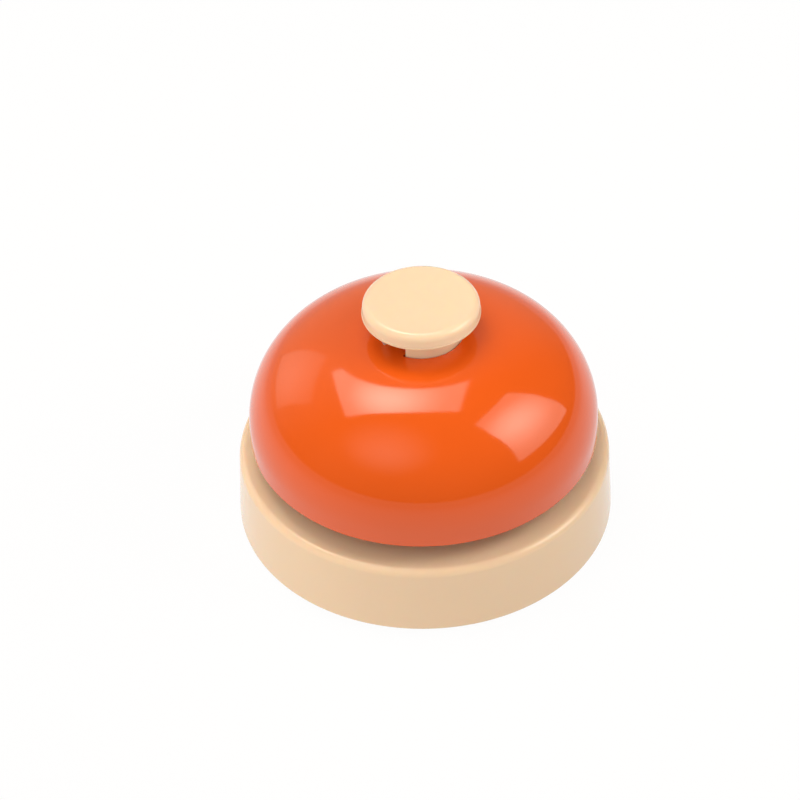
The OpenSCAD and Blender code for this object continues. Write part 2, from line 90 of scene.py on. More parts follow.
def linear(code):
    """An sRGB hex colour as the linear red, green, blue and alpha that shaders read."""
    parts = [int(code[i:i + 2], 16) / 255 for i in (1, 3, 5)]
    return [c / 12.92 if c <= 0.04045 else ((c + 0.055) / 1.055) ** 2.4 for c in parts] + [1.0]


def length(name, description, default):
    """A size of the bell, in metres."""
    return bpy.props.FloatProperty(
        name=name, description=description, default=default, min=0, precision=5,
        subtype="DISTANCE", unit="LENGTH")


def colour(name, description, code):
    """A colour of the bell, from its sRGB hex value."""
    return bpy.props.FloatVectorProperty(
        name=name, description=description, default=linear(code), size=4, min=0, max=1, subtype="COLOR")


class BellSizes(bpy.types.PropertyGroup):
    """Sizes of the pieces that are modelled here."""
    base_r: length("Base radius", "Radius of the base at its lower rim", BASE_HIGH.x)
    base_draft: length("Base draft", "How far the wall leans in up to the edge round", 0.8 * MM)
    base_wall: length("Base wall", "Thickness of the base's side wall", 2.2 * MM)
    base_edge: length("Deck edge", "Radius of the round between wall and deck", 1.5 * MM)
    deck_t: length("Deck thickness", "Thickness of the base's top", 2.5 * MM)
    deck_hole_r: length("Deck hole", "Radius of the hole that takes the post's spigot", 3.05 * MM)
    boss_ring: length("Boss ring", "Radius on which the cover's screws stand", 22 * MM)
    boss_r: length("Boss radius", "Radius of a boss for the cover's screws", 3.5 * MM)
    small_boss_r: length("Small boss radius", "Radius of a boss for the bracket's screws", 2.95 * MM)
    boss_floor: length("Boss floor", "Boss below the end of a bracket screw", 2.5 * MM)
    screw_hole_r: length("Screw hole", "Radius of the hole that a self-tapping screw cuts into", 1.45 * MM)
    screw_head_r: length("Screw head", "Radius of a countersunk head", 2.5 * MM)
    foot_r: length("Foot radius", "Radius of a rubber foot", 5 * MM)
    dome_r: length("Dome radius", "Outer radius of the dome at its lip", DOME_HIGH.x)
    dome_t: length("Dome sheet", "Thickness of the dome's sheet", 1 * MM)
    dome_straight: length("Dome wall", "Height of the straight wall above the lip", 3.4 * MM)
    shoulder_r: length("Shoulder", "Radius of the dome's shoulder in section", 18.7 * MM)
    crown_r: length("Crown", "Radius of the dome's crown in section", 29.7 * MM)
    crown_flat: length("Crown flat", "Radius of the flat at the top of the dome", 9 * MM)
    crown_hole_r: length("Crown hole", "Radius of the dome's centre hole", 2.25 * MM)
    cap_r: length("Cap radius", "Radius of the button's cap at its rim", CAP_HIGH.x)
    cap_h: length("Cap height", "Height of the cap from its rim to its top", 3.1 * MM)
    cap_top_t: length("Cap top", "Thickness of the cap's top", 1.8 * MM)
    cap_rim_t: length("Cap rim", "Thickness of the cap's rim", 1.6 * MM)
    cap_edge: length("Cap edge", "Radius of the round at the cap's top edge", 1.5 * MM)
    cap_draft: length("Cap draft", "How far the cap's side leans in below the edge round", 0.08 * MM)
    cap_step: length("Cap step", "How far the rim stands out from the cap's side", 0.12 * MM)
    cap_step_h: length("Cap step height", "Height of the rim that stands out", 0.5 * MM)
    leg_r: length("Leg radius", "Outer radius of the button's legs", 7.85 * MM)
    leg_t: length("Leg thickness", "Thickness of a leg", 1.2 * MM)
    hook: length("Leg hook", "How far a leg's hook reaches in", 0.6 * MM)
    hook_h: length("Hook height", "Height of a leg's hook", 1 * MM)
    slot_gap: length("Slot gap", "Air between a leg and the slot in the dome", 0.32 * MM)
    wire_r: length("Wire radius", "Radius of the spring's wire", 0.35 * MM)
    coil_r: length("Coil radius", "Radius of the spring to the middle of its wire", 5.2 * MM)
    leg_angle: bpy.props.FloatProperty(
        name="Leg angle", description="Angle that one leg covers", default=math.radians(140),
        subtype="ANGLE")
    leg_turn: bpy.props.FloatProperty(
        name="Leg turn", description="Direction of the first leg", default=math.radians(-44),
        subtype="ANGLE")
    legs: bpy.props.IntProperty(name="Legs", description="Legs under the button's cap", default=2, min=1)
    coils: bpy.props.IntProperty(name="Coils", description="Turns of the spring", default=7, min=3)


class BellColours(bpy.types.PropertyGroup):
    """Colours of the bell's finishes."""
    cream: colour("Cream", "Moulded base and button", "#F1D6B8")
    orange: colour("Orange", "Enamel on the dome", "#E35B15")
    zinc: colour("Zinc", "Plated steel parts", "#C9CCD0")
    wire: colour("Spring wire", "Drawn spring steel", "#9EA1A5")
    brass: colour("Brass", "Hammer ball", "#D8B56A")
    acetal: colour("Acetal", "Plunger and washer", "#EFECE3")
    rubber: colour("Rubber", "Feet and cushion", "#262626")
    floor: colour("Floor", "Studio floor", "#F7F7F7")


def begin():
    """Leaves nothing selected, so that the next operator acts on the new piece alone."""
    if bpy.context.mode != "OBJECT":
        bpy.ops.object.mode_set(mode="OBJECT")
    bpy.ops.object.select_all(action="DESELECT")


def pick(piece):
    """Makes one piece the selected and active object."""
    begin()
    piece.select_set(True)
    bpy.context.view_layer.objects.active = piece


def settle(piece):
    """Puts a piece's place into its mesh, with its object at the origin."""
    pick(piece)
    bpy.ops.object.transform_apply(location=True, rotation=True, scale=True)


def arc(x, z, radius, start, end, count):
    """Points of a circular arc in the half section, from one angle in degrees to another."""
    steps = [math.radians(start + (end - start) * i / count) for i in range(count + 1)]
    return [(x + radius * math.cos(a), z + radius * math.sin(a)) for a in steps]


def softened(corners, count=6):
    """A half section's outline with round corners: each corner is (x, z) or (x, z, radius)."""
    points = []
    for i, corner in enumerate(corners):
        here = Vector(corner[:2])
        if len(corner) == 2:
            points.append(tuple(here))
            continue
        back = (Vector(corners[i - 1][:2]) - here).normalized()
        ahead = (Vector(corners[(i + 1) % len(corners)][:2]) - here).normalized()
        half = back.angle(ahead) / 2
        middle = here + (back + ahead).normalized() * (corner[2] / math.sin(half))
        start = here + back * (corner[2] / math.tan(half)) - middle
        turn = start.angle_signed(here + ahead * (corner[2] / math.tan(half)) - middle)
        for k in range(count + 1):
            a = -turn * k / count
            points.append((middle.x + start.x * math.cos(a) - start.y * math.sin(a),
                           middle.y + start.x * math.sin(a) + start.y * math.cos(a)))
    return points


def turned(name, points, steps=ROUND, angle=2 * math.pi):
    """A turned shape: one corner is extruded along the half section's outline, and the line is spun
    round Z. An outline that doesn't start on the axis is closed."""
    if points[0][0] > TINY:
        points = points + points[:1]
    begin()
    bpy.ops.mesh.primitive_plane_add(size=MM, location=(points[0][0], 0, points[0][1]))
    piece = bpy.context.object
    piece.name = piece.data.name = name
    bpy.ops.object.mode_set(mode="EDIT")
    bpy.ops.mesh.select_all(action="SELECT")
    bpy.ops.mesh.merge(type="CENTER")
    for (x, z), (next_x, next_z) in zip(points, points[1:]):
        bpy.ops.mesh.extrude_region_move(TRANSFORM_OT_translate={"value": (next_x - x, 0, next_z - z)})
    bpy.ops.mesh.select_all(action="SELECT")
    bpy.ops.mesh.remove_doubles(threshold=TINY)
    if angle < 2 * math.pi:
        bpy.ops.mesh.select_all(action="SELECT")
        bpy.ops.mesh.edge_face_add()
    bpy.ops.mesh.spin(steps=steps, angle=-angle, center=(0, 0, 0), axis=(0, 0, 1))
    bpy.ops.mesh.select_all(action="SELECT")
    bpy.ops.mesh.remove_doubles(threshold=TINY)
    bpy.ops.mesh.dissolve_limited(angle_limit=math.radians(FLAT))
    bpy.ops.mesh.select_all(action="SELECT")
    bpy.ops.mesh.normals_make_consistent(inside=False)
    settle(piece)
    return piece


def finish_with(piece, kind, **settings):
    """Adds one modifier to a piece and applies it."""
    pick(piece)
    bpy.ops.object.modifier_add(type=kind)
    modifier = piece.modifiers[-1]
    for field, value in settings.items():
        setattr(modifier, field, value)
    bpy.ops.object.modifier_apply(modifier=modifier.name)


def joined(piece, tool, operation):
    """Cuts a tool out of a piece or fuses it on, and removes the tool."""
    finish_with(piece, "BOOLEAN", operation=operation, solver="EXACT", object=tool)
    bpy.data.objects.remove(tool)


def drum(radius, low, high, x, y, sides=TOOL_FACETS):
    """A round tool from one height to another."""
    begin()
    bpy.ops.mesh.primitive_cone_add(
        vertices=sides, radius1=radius, radius2=radius, depth=high - low,
        location=(x, y, (low + high) / 2))
    settle(bpy.context.object)
    return bpy.context.object


def ringed(radius, count, start):
    """Places on a ring, from a start angle in degrees."""
    angles = [math.radians(start + 360 * i / count) for i in range(count)]
    return [(radius * math.cos(a), radius * math.sin(a)) for a in angles]


def dressed(piece, material, body, slot, *nodes):
    """Shades a finished piece, gives it its material and puts it in the place of its CAD nodes."""
    pick(piece)
    bpy.ops.object.shade_smooth_by_angle(angle=math.radians(SHARP))
    finish_with(piece, "WEIGHTED_NORMAL", weight=100, keep_sharp=True)
    piece.data.materials.clear()
    piece.data.materials.append(material)
    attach(piece, body)
    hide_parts(*nodes)


def add(tree, kind, links=None, values=None, **settings):
    """Adds one shader node, sets its fields and sockets and joins its inputs."""
    made = tree.nodes.new(kind)
    for field, value in settings.items():
        setattr(made, field, value)
    for socket, value in (values or {}).items():
        made.inputs[socket].default_value = value
    for socket, source in (links or {}).items():
        tree.links.new(source, made.inputs[socket])
    return made


def per_mm(size):
    """Texture scale at which one grain of a pattern measures this many millimetres."""
    return 1 / (size * MM)


def blank(name):
    """An empty node material, and the object coordinates that its patterns read."""
    if name in bpy.data.materials:
        raise RuntimeError(f"{name} is already the name of a CAD slot's material")
    material = bpy.data.materials.new(name)
    material.use_nodes = True
    tree = material.node_tree
    tree.nodes.clear()
    return material, tree, add(tree, "ShaderNodeTexCoord").outputs["Object"]


def shade(paint, factor):
    """A colour made lighter or darker."""
    return [min(1.0, c * factor) for c in paint[:3]] + [1.0]


def finished(name):
    """A material that was made earlier, by its name."""
    return bpy.data.materials[name]


def orange_enamel(paint):
    """Stoved enamel on pressed steel: wet gloss, colour a little deeper where the coat pooled,
    a faint press ripple under it and a fine orange peel in it."""
    material, tree, place = blank("orange_enamel")
    pooled = add(tree, "ShaderNodeTexNoise", {"Vector": place}, {"Scale": per_mm(14), "Detail": 2.0})
    tone = add(tree, "ShaderNodeMix", {0: pooled.outputs["Fac"]},
               {6: shade(paint, 0.97), 7: shade(paint, 1.03)}, data_type="RGBA")
    ripple = add(tree, "ShaderNodeTexNoise", {"Vector": place}, {"Scale": per_mm(16), "Detail": 1.0})
    pressed = add(tree, "ShaderNodeBump", {"Height": ripple.outputs["Fac"]},
                  {"Strength": 1.0, "Distance": 0.03 * MM})
    peel = add(tree, "ShaderNodeTexNoise", {"Vector": place}, {"Scale": per_mm(1.6), "Detail": 1.0})
    coat = add(tree, "ShaderNodeBump", {"Height": peel.outputs["Fac"], "Normal": pressed.outputs["Normal"]},
               {"Strength": 1.0, "Distance": 0.0006 * MM})
    gloss = add(tree, "ShaderNodeMapRange", {"Value": pooled.outputs["Fac"]},
                {"From Min": 0.3, "From Max": 0.7, "To Min": 0.07, "To Max": 0.10})
    surface = add(tree, "ShaderNodeBsdfPrincipled",
                  {"Base Color": tone.outputs[2], "Normal": coat.outputs["Normal"],
                   "Roughness": gloss.outputs["Result"]},
                  {"IOR": 1.58})
    add(tree, "ShaderNodeOutputMaterial", {"Surface": surface.outputs["BSDF"]})
    return material


def satin_cream_abs(resin):
    """Moulded ABS from a fine-blasted mould: satin, with a fine grain, faint flow clouds and a slightly
    waxy depth. The real grain is too fine to show, so it is drawn coarser, at about half a millimetre."""
    material, tree, place = blank("satin_cream_abs")
    flow = add(tree, "ShaderNodeTexNoise", {"Vector": place}, {"Scale": per_mm(18), "Detail": 3.0})
    tone = add(tree, "ShaderNodeMix", {0: flow.outputs["Fac"]},
               {6: shade(resin, 0.975), 7: shade(resin, 1.02)}, data_type="RGBA")
    grain = add(tree, "ShaderNodeTexNoise", {"Vector": place}, {"Scale": per_mm(0.45), "Detail": 2.0})
    blasted = add(tree, "ShaderNodeBump", {"Height": grain.outputs["Fac"]},
                  {"Strength": 1.0, "Distance": 0.004 * MM})
    satin = add(tree, "ShaderNodeMapRange", {"Value": flow.outputs["Fac"]},
                {"From Min": 0.3, "From Max": 0.7, "To Min": 0.12, "To Max": 0.18})
    surface = add(tree, "ShaderNodeBsdfPrincipled",
                  {"Base Color": tone.outputs[2], "Normal": blasted.outputs["Normal"],
                   "Roughness": satin.outputs["Result"]},
                  {"IOR": 1.5, "Subsurface Weight": 0.35, "Subsurface Radius": (1.0, 0.5, 0.25),
                   "Subsurface Scale": 1.5 * MM})
    add(tree, "ShaderNodeOutputMaterial", {"Surface": surface.outputs["BSDF"]})
    return material


def zinc_plated_steel(plate):
    """Bright zinc on steel: cold grey metal with cloudy passivation and fine handling scratches, which
    are drawn coarser than the real ones so that they show."""
    material, tree, place = blank("zinc_plated_steel")
    cloud = add(tree, "ShaderNodeTexNoise", {"Vector": place}, {"Scale": per_mm(2.5), "Detail": 4.0})
    tone = add(tree, "ShaderNodeMix", {0: cloud.outputs["Fac"]},
               {6: shade(plate, 0.82), 7: shade(plate, 1.08)}, data_type="RGBA")
    dull = add(tree, "ShaderNodeMapRange", {"Value": cloud.outputs["Fac"]},
               {"From Min": 0.3, "From Max": 0.7, "To Min": 0.24, "To Max": 0.38})
    scratch = add(tree, "ShaderNodeTexNoise", {"Vector": place}, {"Scale": per_mm(0.3), "Detail": 3.0})
    rub = add(tree, "ShaderNodeBump", {"Height": scratch.outputs["Fac"]},
              {"Strength": 1.0, "Distance": 0.003 * MM})
    surface = add(tree, "ShaderNodeBsdfPrincipled",
                  {"Base Color": tone.outputs[2], "Roughness": dull.outputs["Result"],
                   "Normal": rub.outputs["Normal"]},
                  {"Metallic": 1.0})
    add(tree, "ShaderNodeOutputMaterial", {"Surface": surface.outputs["BSDF"]})
    return material


def drawn_spring_steel(wire):
    """Drawn spring steel, oiled: darker than plate, with draw marks that follow the coil and are drawn
    coarser than the real ones so that they show."""
    material, tree, place = blank("drawn_spring_steel")
    squeezed = add(tree, "ShaderNodeMapping", {"Vector": place}, {"Scale": (1.0, 1.0, 6.0)})
    draw = add(tree, "ShaderNodeTexNoise", {"Vector": squeezed.outputs["Vector"]},
               {"Scale": per_mm(0.9), "Detail": 3.0})
    tone = add(tree, "ShaderNodeMix", {0: draw.outputs["Fac"]},
               {6: shade(wire, 0.75), 7: shade(wire, 1.1)}, data_type="RGBA")
    mark = add(tree, "ShaderNodeBump", {"Height": draw.outputs["Fac"]},
               {"Strength": 1.0, "Distance": 0.004 * MM})
    surface = add(tree, "ShaderNodeBsdfPrincipled",
                  {"Base Color": tone.outputs[2], "Normal": mark.outputs["Normal"]},
                  {"Metallic": 1.0, "Roughness": 0.26})
    add(tree, "ShaderNodeOutputMaterial", {"Surface": surface.outputs["BSDF"]})
    return material


def tumbled_brass(metal):
    """Tumbled brass: warm metal, soft polish, faint tarnish clouds."""
    material, tree, place = blank("tumbled_brass")
    tarnish = add(tree, "ShaderNodeTexNoise", {"Vector": place}, {"Scale": per_mm(1.8), "Detail": 3.0})
    tone = add(tree, "ShaderNodeMix", {0: tarnish.outputs["Fac"]},
               {6: shade(metal, 0.78), 7: shade(metal, 1.05)}, data_type="RGBA")
    polish = add(tree, "ShaderNodeMapRange", {"Value": tarnish.outputs["Fac"]},
                 {"From Min": 0.3, "From Max": 0.7, "To Min": 0.18, "To Max": 0.3})
    surface = add(tree, "ShaderNodeBsdfPrincipled",
                  {"Base Color": tone.outputs[2], "Roughness": polish.outputs["Result"]},
                  {"Metallic": 1.0})
    add(tree, "ShaderNodeOutputMaterial", {"Surface": surface.outputs["BSDF"]})
    return material


def natural_acetal(resin):
    """Natural acetal: waxy off-white, smooth from a polished mould, its skin drawn coarser to show."""
    material, tree, place = blank("natural_acetal")
    flow = add(tree, "ShaderNodeTexNoise", {"Vector": place}, {"Scale": per_mm(6), "Detail": 2.0})
    tone = add(tree, "ShaderNodeMix", {0: flow.outputs["Fac"]},
               {6: shade(resin, 0.95), 7: shade(resin, 1.02)}, data_type="RGBA")
    grain = add(tree, "ShaderNodeTexNoise", {"Vector": place}, {"Scale": per_mm(0.5), "Detail": 1.0})
    skin = add(tree, "ShaderNodeBump", {"Height": grain.outputs["Fac"]},
               {"Strength": 1.0, "Distance": 0.002 * MM})
    surface = add(tree, "ShaderNodeBsdfPrincipled",
                  {"Base Color": tone.outputs[2], "Normal": skin.outputs["Normal"]},
                  {"Roughness": 0.32, "IOR": 1.48, "Subsurface Weight": 0.15,
                   "Subsurface Radius": (1.0, 0.9, 0.8), "Subsurface Scale": 1.0 * MM})
    add(tree, "ShaderNodeOutputMaterial", {"Surface": surface.outputs["BSDF"]})
    return material


def moulded_black_rubber(stock):
    """Moulded rubber: matt black with a little grey bloom and a fine skin, drawn coarser to show."""
    material, tree, place = blank("moulded_black_rubber")
    bloom = add(tree, "ShaderNodeTexNoise", {"Vector": place}, {"Scale": per_mm(3), "Detail": 4.0})
    tone = add(tree, "ShaderNodeMix", {0: bloom.outputs["Fac"]},
               {6: shade(stock, 0.8), 7: shade(stock, 1.7)}, data_type="RGBA")
    grain = add(tree, "ShaderNodeTexNoise", {"Vector": place}, {"Scale": per_mm(0.3), "Detail": 2.0})
    skin = add(tree, "ShaderNodeBump", {"Height": grain.outputs["Fac"]},
               {"Strength": 1.0, "Distance": 0.012 * MM})
    surface = add(tree, "ShaderNodeBsdfPrincipled",
                  {"Base Color": tone.outputs[2], "Normal": skin.outputs["Normal"]},
                  {"Roughness": 0.72, "IOR": 1.52})
    add(tree, "ShaderNodeOutputMaterial", {"Surface": surface.outputs["BSDF"]})
    return material


class BELL_OT_finishes(bpy.types.Operator):
    """Makes the bell's materials"""
    bl_idname = "bell.finishes"
    bl_label = "Finishes"

    def execute(self, context):
        colours = context.scene.bell_colours
        orange_enamel(colours.orange)
        satin_cream_abs(colours.cream)
        zinc_plated_steel(colours.zinc)
        drawn_spring_steel(colours.wire)
        tumbled_brass(colours.brass)
        natural_acetal(colours.acetal)
        moulded_black_rubber(colours.rubber)
        return {"FINISHED"}


class BELL_OT_base(bpy.types.Operator):
    """Moulds the base: a drafted cup upside down with screw bosses inside"""
    bl_idname = "bell.base"
    bl_label = "Base"

    def execute(self, context):
        size = context.scene.bell_sizes
        rim, deck = BASE_LOW.z, BASE_HIGH.z
        rim_round, inner_round, fillet = 0.35 * MM, 0.3 * MM, 0.6 * MM
        ceiling = deck - size.deck_t
        lean = size.base_draft / (deck - size.base_edge - rim)
        top_r = size.base_r - size.base_draft
        inner_top = size.base_r - size.base_wall - lean * (ceiling - rim)
        shell = turned("base_shell", softened([
            (size.deck_hole_r, deck, HOLE_ROUND), (top_r, deck, size.base_edge),
            (size.base_r, rim, rim_round), (size.base_r - size.base_wall, rim, inner_round),
            (inner_top, ceiling, fillet), (size.deck_hole_r, ceiling, HOLE_ROUND),
            (size.deck_hole_r, (deck + ceiling) / 2)], 8))
        bracket_low, bracket_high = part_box("bracket_screws")
        screw_x = (bracket_low.x + bracket_high.x) / 2
        screw_y = bracket_high.y - (bracket_high.x - bracket_low.x) / 2
        boss_low = bracket_low.z - size.boss_floor
        bosses = [(size.boss_r, COVER_HIGH.z, x, y) for x, y in ringed(size.boss_ring, *COVER_SCREWS)]
        bosses += [(size.small_boss_r, boss_low, screw_x, y) for y in (-screw_y, screw_y)]
        for radius, low, x, y in bosses:
            joined(shell, drum(radius, low, ceiling + OVERLAP, x, y), "UNION")
        hole_low, hole_high = COVER_HIGH.z - MM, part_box("cover_screws")[1].z + MM
        holes = [(hole_low, hole_high, x, y) for x, y in ringed(size.boss_ring, *COVER_SCREWS)]
        holes += [(bracket_low.z - MM, deck + MM, screw_x, y) for y in (-screw_y, screw_y)]
        for low, high, x, y in holes:
            joined(shell, drum(size.screw_hole_r, low, high, x, y), "DIFFERENCE")
        dressed(shell, finished("satin_cream_abs"), "stand", "cream_abs", "base_housing")
        return {"FINISHED"}


class BELL_OT_cover(bpy.types.Operator):
    """Moulds the plate under the base, with countersinks for its screws and pockets for the feet"""
    bl_idname = "bell.cover"
    bl_label = "Cover"

    def execute(self, context):
        size = context.scene.bell_sizes
        low, high = COVER_LOW.z, COVER_HIGH.z
        outer_round, inner_round = 0.3 * MM, 0.2 * MM
        screw_play, foot_play, foot_seat = 0.2 * MM, 0.04 * MM, 0.02 * MM
        plate = turned("base_cover", softened([
            (0, low), (COVER_HIGH.x, low, outer_round), (COVER_HIGH.x, high, inner_round), (0, high)], 5))
        head_r, clear_r = size.screw_head_r, size.screw_hole_r + screw_play
        for x, y in ringed(size.boss_ring, *COVER_SCREWS):
            sink = turned("countersink", [
                (0, low - MM), (head_r + MM, low - MM), (clear_r, low + head_r - clear_r),
                (clear_r, high + MM), (0, high + MM)], TOOL_FACETS)
            sink.location = (x, y, 0)
            settle(sink)
            joined(plate, sink, "DIFFERENCE")
        for x, y in ringed(foot_ring(size), *FEET):
            pocket = drum(size.foot_r + foot_play, low - MM, FEET_HIGH.z + foot_seat, x, y,
                          sides=ROUND_SMALL)
            joined(plate, pocket, "DIFFERENCE")
        dressed(plate, finished("satin_cream_abs"), "stand", "cream_abs", "bottom_cover")
        return {"FINISHED"}


def foot_ring(size):
    """Radius on which the rubber feet stand."""
    return (FEET_HIGH.x - size.foot_r) * math.sqrt(2)


class BELL_OT_feet(bpy.types.Operator):
    """Moulds one rubber foot with grip rings and sets four of them in the cover's pockets"""
    bl_idname = "bell.feet"
    bl_label = "Feet"

    def execute(self, context):
        size = context.scene.bell_sizes
        groove, slope, groove_round = 0.22 * MM, 0.12 * MM, 0.05 * MM
        sole_round, top_round = 0.35 * MM, 0.1 * MM
        rings, ring_width = (0.3, 0.52, 0.74), 0.1      # as shares of the foot's radius
        bottom, top = FEET_LOW.z, FEET_HIGH.z
        bed = bottom + groove
        corners = [(0, bottom)]
        for share in rings:
            inner, outer = share * size.foot_r, (share + ring_width) * size.foot_r
            corners += [(inner, bottom, groove_round), (inner + slope, bed, groove_round),
                        (outer - slope, bed, groove_round), (outer, bottom, groove_round)]
        corners += [(size.foot_r, bottom, sole_round), (size.foot_r, top, top_round), (0, top)]
        places = ringed(foot_ring(size), *FEET)
        feet = [turned("rubber_foot_1", softened(corners, 4), ROUND_SMALL)]
        for number in range(2, len(places) + 1):
            pick(feet[0])
            bpy.ops.object.duplicate()
            feet.append(bpy.context.object)
            feet[-1].name = feet[-1].data.name = f"rubber_foot_{number}"
        for foot, (x, y) in zip(feet, places):
            foot.location = (x, y, 0)
            settle(foot)
            dressed(foot, finished("moulded_black_rubber"), "stand", "black_rubber", "rubber_feet")
        return {"FINISHED"}


class BELL_OT_dome(bpy.types.Operator):
    """Presses the dome: a thin shell with a rounded lip, a centre hole and a slot for each leg"""
    bl_idname = "bell.dome"
    bl_label = "Dome"

    def execute(self, context):
        size = context.scene.bell_sizes
        lip, crown = DOME_LOW.z, DOME_HIGH.z
        half = size.dome_t / 2
        wall = lip + size.dome_straight
        shoulder_x = size.dome_r - size.shoulder_r
        crown_z = crown - size.crown_r
        meet = math.degrees(math.atan2(wall - crown_z, shoulder_x - size.crown_flat))
        outer = (arc(size.crown_flat, crown_z, size.crown_r, 90, meet, 26)
                 + arc(shoulder_x, wall, size.shoulder_r, meet, 0, 30)[1:])
        inner = (arc(shoulder_x, wall, size.shoulder_r - size.dome_t, 0, meet, 20)
                 + arc(size.crown_flat, crown_z, size.crown_r - size.dome_t, meet, 90, 16)[1:])
        points = ([(size.crown_hole_r, crown)] + outer + [(size.dome_r, (wall + lip) / 2)]
                  + arc(size.dome_r - half, lip + half, half, 0, -180, 12) + inner
                  + [(size.crown_hole_r, crown - size.dome_t)])
        shell = turned("dome_shell", points)
        slot_in, slot_out = size.leg_r - size.leg_t - size.slot_gap, size.leg_r + size.slot_gap
        slot_angle = size.leg_angle + 2 * math.asin(size.slot_gap / (size.leg_r - size.leg_t))
        below, above = crown - 2 * size.dome_t, crown + size.dome_t
        for i in range(size.legs):
            tool = turned("slot_tool", [
                (slot_in, below), (slot_out, below), (slot_out, above), (slot_in, above)],
                LEG_FACETS, slot_angle)
            tool.rotation_euler.z = size.leg_turn + i * 2 * math.pi / size.legs - slot_angle / 2
            settle(tool)
            joined(shell, tool, "DIFFERENCE")
        dressed(shell, finished("orange_enamel"), "stand", "orange_paint", "bell_dome")
        return {"FINISHED"}


class BELL_OT_button(bpy.types.Operator):
    """Moulds the button: a mushroom cap with hooked legs"""
    bl_idname = "bell.button"
    bl_label = "Button"

    def execute(self, context):
        size = context.scene.bell_sizes
        foot, top = CAP_LOW.z, CAP_HIGH.z
        rim, under = top - size.cap_h, top - size.cap_top_t
        inner = size.cap_r - size.cap_rim_t
        side, step = size.cap_r - size.cap_step, rim + size.cap_step_h
        corner, step_round, rim_round, fillet = 0.06 * MM, 0.12 * MM, 0.2 * MM, 0.3 * MM
        cap = turned("button", softened([
            (0, top), (side - size.cap_draft, top, size.cap_edge), (side, step, corner),
            (size.cap_r, step, step_round), (size.cap_r, rim, rim_round),
            (inner, rim, HOLE_ROUND), (inner, under, fillet), (0, under)], 10))
        leg_in = size.leg_r - size.leg_t
        hook_r, hook_top = leg_in - size.hook, foot + size.hook_h
        root = under + OVERLAP
        lead, leg_round = 0.3 * MM, 0.12 * MM
        for i in range(size.legs):
            leg = turned("leg", [(size.leg_r, foot), (size.leg_r, root), (leg_in, root), (leg_in, hook_top),
                                 (hook_r, hook_top), (hook_r, foot + lead), (hook_r + lead, foot)],
                         LEG_FACETS, size.leg_angle)
            leg.rotation_euler.z = size.leg_turn + i * 2 * math.pi / size.legs - size.leg_angle / 2
            settle(leg)
            finish_with(leg, "BEVEL", width=leg_round, segments=3, limit_method="ANGLE",
                        angle_limit=math.radians(40))
            joined(cap, leg, "UNION")
        dressed(cap, finished("satin_cream_abs"), "button", "cream_abs", "button_cap")
        return {"FINISHED"}


class BELL_OT_spring(bpy.types.Operator):
    """Winds the return spring: the wire's round section is extruded round the post, flat at both ends"""
    bl_idname = "bell.spring"
    bl_label = "Spring"

    def execute(self, context):
        size = context.scene.bell_sizes
        low, high = SPRING_LOW.z + size.wire_r, SPRING_HIGH.z - size.wire_r
        per_turn, wire_facets = 40, 16
        flat = 0.4                              # share of a turn that lies flat at each end
        begin()
        bpy.ops.mesh.primitive_circle_add(vertices=wire_facets, radius=size.wire_r, fill_type="NGON",
                                          location=(size.coil_r, 0, low), rotation=(math.pi / 2, 0, 0))
        spring = bpy.context.object
        spring.name = spring.data.name = "coil_spring"
        bpy.ops.object.mode_set(mode="EDIT")
        bpy.ops.mesh.select_all(action="SELECT")
        rise = (high - low) / ((size.coils - 2 * flat) * per_turn)
        for i in range(size.coils * per_turn):
            middle = (i + 0.5) / per_turn
            lift = rise if flat < middle < size.coils - flat else 0.0
            bpy.ops.mesh.extrude_region_move(TRANSFORM_OT_translate={"value": (0, 0, lift)})
            bpy.ops.transform.rotate(value=-2 * math.pi / per_turn, orient_axis="Z",
                                     center_override=(0, 0, 0))
        bpy.ops.mesh.select_all(action="SELECT")
        bpy.ops.mesh.normals_make_consistent(inside=False)
        settle(spring)
        dressed(spring, finished("drawn_spring_steel"), "stand", "spring_steel", "return_spring")
        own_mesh(spring)
        return {"FINISHED"}


class BELL_OT_cushion(bpy.types.Operator):
    """Moulds the rubber washer under the crown"""
    bl_idname = "bell.cushion"
    bl_label = "Cushion"

    def execute(self, context):
        size = context.scene.bell_sizes
        low, high, outer = CUSHION_LOW.z, CUSHION_HIGH.z, CUSHION_HIGH.x
        outer_round = 0.25 * MM
        washer = turned("rubber_cushion", softened([
            (size.crown_hole_r, low, HOLE_ROUND), (outer, low, outer_round), (outer, high, outer_round),
            (size.crown_hole_r, high, HOLE_ROUND), (size.crown_hole_r, (low + high) / 2)], 5), ROUND_SMALL)
        dressed(washer, finished("moulded_black_rubber"), "stand", "black_rubber", "dome_cushion")
        return {"FINISHED"}


class BELL_OT_hardware(bpy.types.Operator):
    """Gives the pieces that keep their CAD shape the finish of their real material"""
    bl_idname = "bell.hardware"
    bl_label = "Hardware"

    def execute(self, context):
        finishes = {
            "zinc_plated_steel": ["cover_screws", "post", "post_screw", "post_washer", "stop_washer",
                                  "dome_screw", "striker_bracket", "bracket_screws", "striker_pin",
                                  "striker_lever"],
            "natural_acetal": ["plunger_sleeve", "dome_washer"],
            "tumbled_brass": ["hammer_ball"],
        }
        for name, nodes in finishes.items():
            for node in nodes:
                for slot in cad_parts[node].material_slots:
                    slot.material = finished(name)
        return {"FINISHED"}


